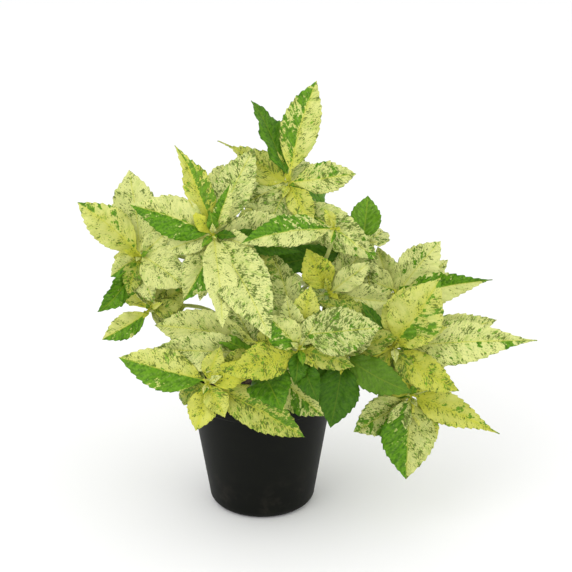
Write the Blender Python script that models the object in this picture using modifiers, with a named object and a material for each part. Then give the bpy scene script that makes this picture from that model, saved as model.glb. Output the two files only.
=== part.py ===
"""A pellionia in a round nursery pot.

A tapered black pot holds a plug of soil.  Branching stems rise out of the soil and end in crowns, and every
crown carries a whorl of leaves: ovate blades with a long point, folded along the midrib and arched.
The origin is the centre of the pot's foot, +Z is up, and the plant's fuller side faces -Y.

Leaves are laid out as a florist would look at the plant: each crown has a face, a plane that leans back
by FACE_LEAN, and a leaf points at an angle on that face (0 to the right, 90 up) and out of it.
"""

import math

import bmesh
import bpy
from mathutils import Matrix, Vector

MM = 0.001

# Pot
POT_HEIGHT = 94.0 * MM
FOOT_RADIUS = 38.0 * MM
MOUTH_RADIUS = 53.0 * MM
WALL = 1.6 * MM
FLOOR = 2.0 * MM
FOOT_ROUND = 7.0 * MM
COLLAR_HEIGHT = 9.0 * MM
COLLAR_STEP = 1.5 * MM
POT_STEPS = 40
DRAIN_HOLES = 6
DRAIN_RADIUS = 2.5 * MM
DRAIN_CIRCLE = 22.0 * MM
DRAIN_SIDES = 12

# Soil: how far its top lies below the rim, and the slack between touching pieces
SOIL_DEPTH = 11.0 * MM
SOIL_EDGE_WIDTH = 3.0 * MM
SOIL_EDGE_DROP = 2.0 * MM
SOIL_STEPS = 32
GAP = 0.35 * MM

# Stems: a stem climbs most of its height early, then leans out to its crown
STEM_RADIUS = 2.2 * MM
TWIG_RADIUS = 1.7 * MM
STEM_POINTS = 9
STEM_LEAST_RISE = 20.0 * MM
STEM_BEND_ACROSS = 0.25
STEM_BEND_UP = 0.85
STEM_ARCH = 0.2
WELD = 0.01 * MM

# Leaves
FACE_LEAN = math.radians(21)
FOLD = math.radians(20)
BLADE_THICKNESS = 0.8 * MM
PETIOLE_HALF_WIDTH = 1.1 * MM
TIP_HALF_WIDTH = 0.5 * MM
PETIOLE_SHARE = 0.09
STATIONS = 9
CROWN_CLEARANCE = 4.5 * MM
WIDEST = 0.38
BASE_ROUND = 0.62
TIP_DRAW = BASE_ROUND * (1 - WIDEST) / WIDEST

SOIL_TOP = POT_HEIGHT - SOIL_DEPTH

COLOURS = {
    "pot": ((0.012, 0.013, 0.011, 1), 0.42),
    "soil": ((0.05, 0.03, 0.018, 1), 0.95),
    "stem": ((0.42, 0.47, 0.16, 1), 0.5),
    "leaf": ((0.62, 0.68, 0.25, 1), 0.5),
}

# Crown: where its leaves meet, in mm, and the way its face looks, in degrees (0 is -Y).
CROWNS = {
    "top": ((20, 10, 245), 0),
    "shoulder": ((51, -25, 220), 0),
    "green": ((72, 0, 200), 0),
    "heart": ((-32, -28, 219), 0),
    "left": ((-85, -8, 195), 0),
    "low_left": ((-79, -18, 156), 0),
    "sill": ((0, -50, 138), 0),
    "brim": ((-36, -66, 124), 0),
    "front": ((27, -62, 143), 0),
    "step": ((57, -58, 141), 0),
    "middle": ((48, -22, 173), 0),
    "right": ((97, 4, 159), 0),
    "far_right": ((92, -48, 143), 0),
    "low_right": ((106, -34, 99), 0),
    "rear_top": ((2, 46, 206), 180),
    "rear_left": ((-42, 60, 166), 180),
    "rear_right": ((44, 64, 146), 180),
}

# Stem: its root on the soil in mm, and the crowns it feeds; the first is its leader, the others branch
# off it at a share of its length. Two more shares say where a branch bends, if not as the others do.
STEMS = {
    "stem_top": ((6, 8), (("top", 0.0), ("shoulder", 0.3, 0.9, 0.3), ("green", 0.4))),
    "stem_left": ((-20, -4), (("heart", 0.0), ("left", 0.4), ("low_left", 0.25))),
    "stem_front": ((0, -26), (("front", 0.0), ("sill", 0.5), ("brim", 0.3), ("step", 0.4))),
    "stem_right": ((24, -2), (("right", 0.0), ("middle", 0.3), ("far_right", 0.35), ("low_right", 0.2))),
    "stem_rear": ((-2, 26), (("rear_top", 0.0), ("rear_left", 0.4), ("rear_right", 0.25))),
}

# Leaf: angle on the face, angle out of it, reach, width (mm), lift along the stem (mm), roll, arch.
LEAVES = {
    "top": (
        ("leaf_top_up", 74, -5, 66, 26, 2, 0, 20),
        ("leaf_top_blade", 116, -8, 58, 22, 0, 40, 15),
        ("leaf_top_right", 8, -10, 44, 22, -3, -10, 40),
        ("leaf_top_tail", 148, -15, 58, 25, -4, 15, 30),
        ("leaf_top_down", 245, 12, 42, 26, -4, 0, 30),
        ("leaf_top_shawl", -34, 7, 72, 27, -16, 0, 50),
    ),
    "shoulder": (
        ("leaf_shoulder_left", 190, 15, 63, 22, 0, 15, 25),
    ),
    "green": (
        ("leaf_green_up", 84, -5, 30, 21, 0, 0, 15),
    ),
    "heart": (
        ("leaf_heart_up_left", 115, 8, 57, 20, 3, 25, 20),
        ("leaf_heart_left", 161, 18, 57, 28, -2, 5, 25),
        ("leaf_heart_down_left", 245, 16, 44, 24, -6, 0, 30),
        ("leaf_heart_down", -60, 28, 86, 36, -4, 0, 30),
        ("leaf_heart_up", 84, -40, 60, 22, 0, 0, 20),
        ("leaf_heart_up_right", 66, -14, 66, 26, -4, -8, 25),
        ("leaf_heart_right", 12, -10, 51, 24, -6, 0, 20),
    ),
    "left": (
        ("leaf_left_out", 140, 5, 52, 26, 0, 5, 25),
        ("leaf_left_up", 98, -10, 59, 32, -2, -5, 20),
        ("leaf_left_in", -35, 25, 40, 30, 0, 0, 25),
        ("leaf_left_hang", 232, 10, 43, 18, -4, -40, 25),
    ),
    "low_left": (
        ("leaf_low_left_out", 212, 10, 34, 17, 0, 10, 20),
        ("leaf_low_left_in", 28, 5, 28, 24, 3, 0, 20),
    ),
    "sill": (
        ("leaf_sill_back", 171, -16, 74, 28, 7, 0, 25),
        ("leaf_sill_left", 177, 5, 71, 26, -2, 0, 25),
        ("leaf_sill_round", -60, 50, 43, 30, -12, 0, 25),
        ("leaf_sill_low", -42, -14, 57, 26, -6, 0, 25),
    ),
    "brim": (
        ("leaf_brim_left", 165, 5, 58, 28, 0, 10, 20),
        ("leaf_brim_hang", 256, 10, 28, 20, -3, 0, 30),
        ("leaf_brim_right", -29, -7, 72, 26, -3, 0, 12),
    ),
    "front": (
        ("leaf_front_broad", 6, 12, 52, 32, 13, 0, 30),
        ("leaf_front_up", 135, 0, 32, 20, 3, 15, 20),
        ("leaf_front_gold", 196, 24, 52, 25, 1, 0, 25),
        ("leaf_front_dark", -66, 28, 30, 16, -5, 10, 20),
        ("leaf_front_tall", 106, -22, 70, 22, 4, 0, 15),
    ),
    "step": (
        ("leaf_step_deep", 259, 12, 44, 28, -4, 0, 20),
        ("leaf_step_olive", -28, 15, 49, 22, -2, 0, 25),
    ),
    "middle": (
        ("leaf_middle_gold", 119, 25, 32, 22, 0, 0, 25),
        ("leaf_middle_right", 54, -10, 51, 24, -4, 0, 20),
    ),
    "right": (
        ("leaf_right_up", 51, 0, 46, 28, 0, 0, 25),
        ("leaf_right_out", 12, 14, 66, 22, -3, 0, 25),
        ("leaf_right_in", 163, 20, 26, 21, 4, 0, 20),
    ),
    "far_right": (
        ("leaf_far_up", 57, 25, 56, 37, 0, 0, 25),
        ("leaf_far_out", 3, 5, 94, 30, -2, 0, 20),
        ("leaf_far_behind", 10, -15, 73, 22, 4, 0, 20),
        ("leaf_far_low", -32, 15, 49, 22, -4, 0, 30),
    ),
    "low_right": (
        ("leaf_low_right_out", -24, 5, 64, 22, 0, 0, 25),
        ("leaf_low_right_down", -94, 10, 54, 37, -2, 0, 20),
        ("leaf_low_right_in", 210, 0, 42, 26, -4, 0, 20),
    ),
    "rear_top": (
        ("leaf_rear_top_up", 80, 10, 45, 24, 0, 0, 25),
        ("leaf_rear_top_down", 248, 30, 64, 30, -2, 0, 30),
    ),
    "rear_left": (
        ("leaf_rear_left_out", 18, 20, 64, 30, 0, 0, 25),
        ("leaf_rear_left_down", -68, 25, 60, 28, -2, 0, 30),
    ),
    "rear_right": (
        ("leaf_rear_right_out", 162, 50, 62, 28, 0, 0, 25),
        ("leaf_rear_right_down", 250, 20, 58, 28, -2, 0, 25),
    ),
}


def clear_scene():
    for obj in list(bpy.data.objects):
        bpy.data.objects.remove(obj)


def make_collection(name):
    collection = bpy.data.collections.new(name)
    bpy.context.scene.collection.children.link(collection)
    return collection


def make_materials():
    made = {}
    for name, (colour, roughness) in COLOURS.items():
        material = bpy.data.materials.new(name)
        material.use_nodes = True
        shader = material.node_tree.nodes["Principled BSDF"]
        shader.inputs["Base Color"].default_value = colour
        shader.inputs["Roughness"].default_value = roughness
        made[name] = material
    return made


def add_object(name, data, material, collection):
    obj = bpy.data.objects.new(name, data)
    if material:
        data.materials.append(material)
    collection.objects.link(obj)
    return obj


def turned(name, profile, steps, material, collection):
    """A closed profile of (radius, height) points turned round Z."""
    mesh = bpy.data.meshes.new(name)
    points = [(radius, 0, height) for radius, height in profile]
    mesh.from_pydata(points, [(i, i + 1) for i in range(len(points) - 1)], [])
    obj = add_object(name, mesh, material, collection)
    screw = obj.modifiers.new("turn", "SCREW")
    screw.steps = screw.render_steps = steps
    screw.use_smooth_shade = True
    screw.use_merge_vertices = True
    screw.merge_threshold = 0.0001
    return obj


def pot_radius(height):
    """The pot's outer radius at a height, without the collar."""
    return FOOT_RADIUS + (MOUTH_RADIUS - FOOT_RADIUS) * height / POT_HEIGHT


def rounded_foot(radius, height, inset, points=4):
    """The quarter round where the wall meets the floor, from the wall down to the foot."""
    return [
        (
            radius - inset * (1 - math.cos(math.radians(90 * i / points))),
            height - inset * math.sin(math.radians(90 * i / points)),
        )
        for i in range(points + 1)
    ]


def drain_mesh():
    drill = bmesh.new()
    bmesh.ops.create_cone(
        drill,
        cap_ends=True,
        segments=DRAIN_SIDES,
        radius1=DRAIN_RADIUS,
        radius2=DRAIN_RADIUS,
        depth=6 * FLOOR,
    )
    mesh = bpy.data.meshes.new("drain")
    drill.to_mesh(mesh)
    drill.free()
    return mesh


def helper(name, mesh, collection):
    """A cutter or a branch that a Boolean reads and nobody sees."""
    obj = add_object(name, mesh, None, collection)
    obj.hide_render = True
    obj.display_type = "WIRE"
    return obj


def combine(obj, name, operation, other):
    modifier = obj.modifiers.new(name, "BOOLEAN")
    modifier.operation = operation
    modifier.object = other


def build_pot(material, collection, cutters):
    collar_foot = POT_HEIGHT - COLLAR_HEIGHT
    outside = [
        (pot_radius(POT_HEIGHT) + COLLAR_STEP, POT_HEIGHT),
        (pot_radius(collar_foot) + COLLAR_STEP, collar_foot),
        (pot_radius(collar_foot), collar_foot - COLLAR_STEP),
        *rounded_foot(pot_radius(FOOT_ROUND), FOOT_ROUND, FOOT_ROUND),
    ]
    inside = [
        (0, 0),
        (0, FLOOR),
        *reversed(rounded_foot(pot_radius(FLOOR + FOOT_ROUND) - WALL, FLOOR + FOOT_ROUND, FOOT_ROUND)),
        (pot_radius(POT_HEIGHT) - WALL, POT_HEIGHT),
        (pot_radius(POT_HEIGHT) + COLLAR_STEP, POT_HEIGHT),
    ]
    pot = turned("pot", outside + inside, POT_STEPS, material, collection)
    for i in range(DRAIN_HOLES):
        turn = math.radians(360 * i / DRAIN_HOLES)
        cutter = helper(f"drain_cutter_{i + 1}", drain_mesh(), cutters)
        cutter.location = (DRAIN_CIRCLE * math.cos(turn), DRAIN_CIRCLE * math.sin(turn), 0)
        combine(pot, f"drain_{i + 1}", "DIFFERENCE", cutter)
    return pot


def build_soil(material, collection):
    low = FLOOR + GAP
    shy = WALL + GAP * 3
    profile = [
        (0, SOIL_TOP),
        (pot_radius(SOIL_TOP) - shy - SOIL_EDGE_WIDTH, SOIL_TOP),
        (pot_radius(SOIL_TOP) - shy, SOIL_TOP - SOIL_EDGE_DROP),
        *rounded_foot(pot_radius(low + FOOT_ROUND) - shy, low + FOOT_ROUND, FOOT_ROUND, 3),
        (0, low),
    ]
    return turned("soil", profile, SOIL_STEPS, material, collection)


def crown_point(name):
    return Vector(CROWNS[name][0]) * MM


def stem_path(start, end, across=STEM_BEND_ACROSS, up=STEM_BEND_UP, points=STEM_POINTS):
    """A stem that leaves its start steeply and leans over to its crown, unless its bend lies elsewhere."""
    rise = max(end.z - start.z, STEM_LEAST_RISE)
    bend = start.lerp(end, across)
    bend.z = start.z + rise * up + (end - start).xy.length * STEM_ARCH
    return [
        start * (1 - t) ** 2 + bend * (2 * t * (1 - t)) + end * t**2
        for t in (i / (points - 1) for i in range(points))
    ]


def tube_mesh(name, path, radius, tip_radius):
    """A tube along a path, as a closed mesh that a Boolean can read."""
    curve = bpy.data.curves.new(name, "CURVE")
    curve.dimensions = "3D"
    curve.bevel_depth = radius
    curve.bevel_resolution = 1
    curve.use_fill_caps = True
    spline = curve.splines.new("POLY")
    spline.points.add(len(path) - 1)
    for i, point in enumerate(path):
        share = i / (len(path) - 1)
        spline.points[i].co = (*point, 1)
        spline.points[i].radius = 1 + (tip_radius / radius - 1) * share
    holder = bpy.data.objects.new(name, curve)
    bpy.context.scene.collection.objects.link(holder)
    bpy.context.view_layer.update()
    graph = bpy.context.evaluated_depsgraph_get()
    mesh = bpy.data.meshes.new_from_object(holder.evaluated_get(graph))
    bpy.data.objects.remove(holder)
    welded = bmesh.new()
    welded.from_mesh(mesh)
    bmesh.ops.remove_doubles(welded, verts=welded.verts, dist=WELD)
    bmesh.ops.recalc_face_normals(welded, faces=welded.faces)
    welded.to_mesh(mesh)
    welded.free()
    return mesh


def build_stem(name, material, collection, cutters):
    root, crowns = STEMS[name]
    start = Vector((root[0] * MM, root[1] * MM, SOIL_TOP + 3 * GAP))
    leader = stem_path(start, crown_point(crowns[0][0]))
    stem = add_object(name, tube_mesh(name, leader, STEM_RADIUS, TWIG_RADIUS), material, collection)
    for crown, share, *bend in crowns[1:]:
        fork = leader[round(share * (len(leader) - 1))]
        path = stem_path(fork, crown_point(crown), *bend)
        mesh = tube_mesh(f"{name}_{crown}", path, TWIG_RADIUS, TWIG_RADIUS)
        combine(stem, f"join_{crown}", "UNION", helper(f"twig_{crown}", mesh, cutters))
    return stem


def blade_half_width(share, width):
    """Half the leaf's width at a share of its length: a petiole, an ovate blade and a drawn-out point."""
    if share <= PETIOLE_SHARE:
        return PETIOLE_HALF_WIDTH
    along = (share - PETIOLE_SHARE) / (1 - PETIOLE_SHARE)
    ovate = (along / WIDEST) ** BASE_ROUND * ((1 - along) / (1 - WIDEST)) ** TIP_DRAW
    return max(TIP_HALF_WIDTH, PETIOLE_HALF_WIDTH * (1 - along), width / 2 * ovate)


def leaf_shares():
    """Where the leaf's cross sections lie: both ends of the petiole, then evenly along the blade."""
    blade = [PETIOLE_SHARE + (1 - PETIOLE_SHARE) * i / (STATIONS - 1) for i in range(STATIONS)]
    return [0, *blade]


def leaf_mesh(name, reach, width, arch):
    """A leaf from the origin to (0, reach, 0), its upper side up: a grid, shaped, that Solidify thickens."""
    shares = leaf_shares()
    bend = math.radians(arch)
    radius = reach / (2 * math.sin(bend / 2))
    grid = bmesh.new()
    bmesh.ops.create_grid(grid, x_segments=2, y_segments=len(shares) - 1, size=1)
    for vertex in grid.verts:
        side = round(vertex.co.x)
        share = shares[round((vertex.co.y + 1) / 2 * (len(shares) - 1))]
        half = blade_half_width(share, width)
        slope = (share - 0.5) * bend
        rise = half * abs(side) * math.sin(FOLD)
        vertex.co = (
            side * half * math.cos(FOLD),
            reach / 2 + radius * math.sin(slope) + rise * math.sin(slope),
            radius * (math.cos(slope) - math.cos(bend / 2)) + rise * math.cos(slope),
        )
    mesh = bpy.data.meshes.new(name)
    grid.to_mesh(mesh)
    grid.free()
    return mesh


def face_axes(azimuth):
    """Right, up and out on a crown's face."""
    turn = Matrix.Rotation(math.radians(azimuth), 3, "Z")
    right = turn @ Vector((1, 0, 0))
    up = turn @ Vector((0, math.sin(FACE_LEAN), math.cos(FACE_LEAN)))
    out = turn @ Vector((0, -math.cos(FACE_LEAN), math.sin(FACE_LEAN)))
    return right, up, out


def leaf_matrix(crown, clock, outward, lift, roll):
    """The place of a leaf whose mesh runs along +Y with its upper side up."""
    right, up, out = face_axes(CROWNS[crown][1])
    clock, outward = math.radians(clock), math.radians(outward)
    along = (right * math.cos(clock) + up * math.sin(clock)) * math.cos(outward) + out * math.sin(outward)
    upper = (out - along * out.dot(along)).normalized()
    upper = Matrix.Rotation(math.radians(roll), 3, along) @ upper
    across = along.cross(upper)
    turn = Matrix((across, along, upper)).transposed()
    place = crown_point(crown) + Vector((0, 0, lift * MM)) + along * CROWN_CLEARANCE
    return Matrix.Translation(place) @ turn.to_4x4()


def build_leaf(crown, row, material, collection):
    name, clock, outward, reach, width, lift, roll, arch = row
    mesh = leaf_mesh(name, reach * MM, width * MM / math.cos(FOLD), arch)
    leaf = add_object(name, mesh, material, collection)
    leaf.matrix_world = leaf_matrix(crown, clock, outward, lift, roll)
    thick = leaf.modifiers.new("thickness", "SOLIDIFY")
    thick.thickness = BLADE_THICKNESS
    thick.offset = 0
    return leaf


def main():
    clear_scene()
    materials = make_materials()
    plant = make_collection("potted_pellionia")
    cutters = make_collection("cutters")
    build_pot(materials["pot"], plant, cutters)
    build_soil(materials["soil"], plant)
    for name in STEMS:
        build_stem(name, materials["stem"], plant, cutters)
    for crown, rows in LEAVES.items():
        for row in rows:
            build_leaf(crown, row, materials["leaf"], plant)


main()
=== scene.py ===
"""Finishes a potted pellionia: variegated leaves on fleshy stems, crumbly soil and a plain pot.

Every large leaf is modelled over its plain solid in the frame, and its length, width and arch are read off
that solid. The smaller leaves fill the crowns, where the large ones meet.
"""

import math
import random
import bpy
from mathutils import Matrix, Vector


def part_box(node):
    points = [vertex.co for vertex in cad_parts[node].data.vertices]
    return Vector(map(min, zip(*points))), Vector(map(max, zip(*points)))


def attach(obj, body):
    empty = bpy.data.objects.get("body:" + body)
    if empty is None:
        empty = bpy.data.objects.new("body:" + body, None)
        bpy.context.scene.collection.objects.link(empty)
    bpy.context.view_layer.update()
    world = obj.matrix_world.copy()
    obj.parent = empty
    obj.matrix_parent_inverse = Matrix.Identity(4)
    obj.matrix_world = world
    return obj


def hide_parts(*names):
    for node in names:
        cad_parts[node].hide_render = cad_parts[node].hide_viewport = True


bl_info = {
    "name": "Potted Pellionia",
    "version": (1, 0, 0),
    "blender": (4, 5, 0),
    "location": "View3D > Sidebar > Pellionia",
    "description": "Models and finishes a variegated pellionia in a nursery pot",
    "category": "Add Mesh",
}

from dataclasses import dataclass

import bpy
from mathutils import Matrix, Vector, noise
from mathutils.bvhtree import BVHTree

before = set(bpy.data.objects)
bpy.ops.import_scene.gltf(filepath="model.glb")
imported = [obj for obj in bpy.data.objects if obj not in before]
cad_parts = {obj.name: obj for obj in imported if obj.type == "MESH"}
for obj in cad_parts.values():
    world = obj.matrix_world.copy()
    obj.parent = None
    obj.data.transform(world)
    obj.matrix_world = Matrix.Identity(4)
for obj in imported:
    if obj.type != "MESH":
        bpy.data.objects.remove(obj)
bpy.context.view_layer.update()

MM = 0.001
BODY = "root"

# The stage. ELEVATION is also how far the crowns' faces look up.
FLOOR_SIZE = 6.0
AIM = Vector((0.0177, 0.0, 0.168))
ELEVATION = math.radians(21)
DISTANCE = 1.10
FOCAL_LENGTH = 97
SENSOR_WIDTH = 36
# Each light's name, place, size and power in watts.
LIGHTS = (("key_light", (-0.9, -1.2, 1.5), 1.2, 9.0), ("fill_light", (1.3, -0.9, 0.9), 1.2, 3.0))

# The pot, beside the sizes that the frame gives.
FOOT_RADIUS = 38 * MM
FOOT_CURVE = 7 * MM
WALL = 1.6 * MM
POT_FLOOR = 2 * MM
COLLAR_HEIGHT = 9 * MM
COLLAR_STEP = 1.5 * MM
EDGE_RADIUS = 0.5 * MM
HOLES = 6
HOLE_RING = 22 * MM
HOLE_RADIUS = 2.5 * MM

# The soil and the stems that root in it.
SOIL_RINGS = 30
SOIL_FIT = 0.985  # share of the pot's inside that the soil's top fills
LUMPS = ((60, 1.8), (190, 1.0), (420, 0.5))  # lumps to the metre, and their height in mm
STREWN = 0.93  # share of the soil's radius that crumbs lie on
GRIT_EVERY = 11  # one crumb in so many is white grit
STEM_FOOT = 2.5 * MM  # height of a stem's foot over the soil
STEM_ROOT = 4 * MM  # how far it is sunk into the soil
STEM_VOXEL = 0.75 * MM
GOLDEN_ANGLE = 137.5  # degrees from one young leaf to the next

# ---- leaf habits

# Each large leaf: how green the half on its left is and the half on its right (looking from the stalk to the
# tip, upper side up), how yellow its ground is, how thickly it is specked, how green its tip, and its shade:
# how far it is darkened towards deep green, partly its own deeper green and partly painted shade where it
# lies in the shadow of the leaves around it.
PAINT = {
    "leaf_top_up": (0.54, 0.14, 0.45, 0.7, 0.1, 0.0),
    "leaf_top_blade": (0.9, 0.9, 0.2, 0.2, 0.6, 0.3),
    "leaf_top_right": (0.42, 0.2, 0.3, 0.65, 0.2, 0.0),
    "leaf_top_tail": (0.15, 0.15, 0.6, 0.6, 0.1, 0.1),
    "leaf_top_down": (0.2, 0.2, 0.2, 0.85, 0.1, 0.15),
    "leaf_top_shawl": (0.3, 0.32, 0.1, 0.85, 0.2, 0.0),
    "leaf_shoulder_left": (0.12, 0.6, 0.1, 0.6, 0.2, 0.05),
    "leaf_green_up": (1.0, 1.0, 0.6, 0.1, 1.0, 0.0),
    "leaf_heart_up_left": (0.05, 0.54, 0.7, 0.4, 0.1, 0.0),
    "leaf_heart_left": (0.72, 0.14, 0.25, 0.55, 0.1, 0.0),
    "leaf_heart_down_left": (0.66, 0.14, 0.2, 0.5, 0.1, 0.0),
    "leaf_heart_down": (0.05, 0.16, 0.1, 0.78, 0.0, 0.03),
    "leaf_heart_up": (0.08, 0.36, 0.25, 0.45, 0.1, 0.0),
    "leaf_heart_up_right": (0.16, 0.18, 0.15, 0.95, 0.0, 0.03),
    "leaf_heart_right": (0.12, 0.1, 0.12, 0.6, 0.1, 0.0),
    "leaf_left_out": (0.1, 0.34, 0.5, 0.3, 0.4, 0.0),
    "leaf_left_up": (0.06, 0.1, 0.1, 0.4, 0.0, 0.0),
    "leaf_left_in": (0.16, 0.1, 0.12, 0.5, 0.1, 0.0),
    "leaf_left_hang": (0.75, 0.7, 0.35, 0.3, 0.5, 0.1),
    "leaf_low_left_out": (0.7, 0.12, 0.45, 0.4, 0.2, 0.0),
    "leaf_low_left_in": (0.3, 0.3, 0.6, 0.5, 0.2, 0.3),
    "leaf_sill_back": (0.08, 0.1, 0.25, 0.5, 0.0, 0.0),
    "leaf_sill_left": (0.14, 0.1, 0.15, 0.72, 0.1, 0.0),
    "leaf_sill_round": (1.0, 1.0, 0.1, 0.1, 1.0, 0.25),
    "leaf_sill_low": (0.12, 0.46, 0.35, 0.5, 0.3, 0.0),
    "leaf_brim_left": (0.72, 0.14, 0.5, 0.55, 0.1, 0.0),
    "leaf_brim_hang": (0.05, 0.08, 0.75, 0.35, 0.0, 0.0),
    "leaf_brim_right": (0.3, 0.1, 0.65, 0.8, 0.5, 0.14),
    "leaf_front_broad": (0.3, 0.34, 0.0, 1.0, 0.0, 0.14),
    "leaf_front_up": (0.62, 0.2, 0.1, 0.6, 0.2, 0.0),
    "leaf_front_gold": (0.15, 0.15, 0.9, 0.8, 0.0, 0.1),
    "leaf_front_dark": (1.0, 1.0, 0.05, 0.1, 1.0, 0.68),
    "leaf_step_deep": (1.0, 1.0, 0.05, 0.1, 1.0, 0.7),
    "leaf_step_olive": (0.95, 0.9, 0.9, 0.4, 0.8, 0.5),
    "leaf_middle_gold": (0.15, 0.2, 0.9, 0.65, 0.0, 0.0),
    "leaf_front_tall": (0.15, 0.2, 0.25, 0.85, 0.1, 0.12),
    "leaf_middle_right": (0.2, 0.22, 0.08, 0.85, 0.1, 0.03),
    "leaf_right_up": (0.36, 0.1, 0.1, 0.3, 0.0, 0.0),
    "leaf_right_out": (0.6, 0.1, 0.25, 0.25, 0.6, 0.0),
    "leaf_right_in": (0.3, 0.2, 0.15, 0.4, 0.1, 0.0),
    "leaf_far_up": (0.04, 0.42, 0.6, 0.5, 0.1, 0.08),
    "leaf_far_out": (0.22, 0.3, 0.2, 0.6, 0.2, 0.0),
    "leaf_far_behind": (0.2, 0.2, 0.2, 0.65, 0.1, 0.0),
    "leaf_far_low": (0.15, 0.2, 0.85, 0.75, 0.1, 0.12),
    "leaf_low_right_in": (0.42, 0.36, 0.3, 0.75, 0.2, 0.1),
    "leaf_low_right_down": (0.14, 0.72, 0.35, 0.7, 0.1, 0.1),
    "leaf_low_right_out": (0.32, 0.06, 0.7, 0.35, 0.4, 0.0),
    "leaf_rear_top_up": (0.2, 0.6, 0.3, 0.6, 0.2, 0.0),
    "leaf_rear_top_down": (0.15, 0.15, 0.3, 0.6, 0.1, 0.0),
    "leaf_rear_left_out": (0.8, 0.15, 0.3, 0.5, 0.2, 0.0),
    "leaf_rear_left_down": (0.2, 0.3, 0.2, 0.7, 0.1, 0.0),
    "leaf_rear_right_out": (0.15, 0.35, 0.4, 0.5, 0.3, 0.0),
    "leaf_rear_right_down": (0.9, 0.9, 0.2, 0.3, 0.8, 0.1),
}
# The same for the smaller leaves, by kind. The olive and dark kinds are darkened towards deep green: partly
# their own deeper green, partly painted shade.
KINDS = {
    "pale": (0.05, 0.1, 0.1, 0.5, 0.0, 0.0),
    "bare": (0.05, 0.12, 0.12, 0.32, 0.0, 0.0),
    "speck": (0.2, 0.2, 0.15, 0.9, 0.1, 0.0),
    "mist": (0.25, 0.2, 0.0, 0.95, 0.0, 0.04),
    "lime": (0.15, 0.2, 0.7, 0.6, 0.1, 0.0),
    "gold": (0.05, 0.1, 1.0, 0.4, 0.0, 0.0),
    "olive": (0.3, 0.34, 0.7, 0.95, 0.2, 0.28),
    "left": (0.66, 0.15, 0.3, 0.5, 0.2, 0.0),
    "right": (0.15, 0.66, 0.3, 0.5, 0.2, 0.0),
    "dark": (1.0, 1.0, 0.1, 0.1, 1.0, 0.55),
    "bright": (1.0, 1.0, 0.6, 0.1, 1.0, 0.0),
}
# Leaves whose tip is drawn out into a long tail, and how much.
TAILS = {
    "leaf_top_tail": 3.0,
    "leaf_far_out": 1.7,
    "leaf_low_right_out": 1.9,
    "leaf_right_out": 1.7,
    "leaf_heart_up_left": 1.5,
}
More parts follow.
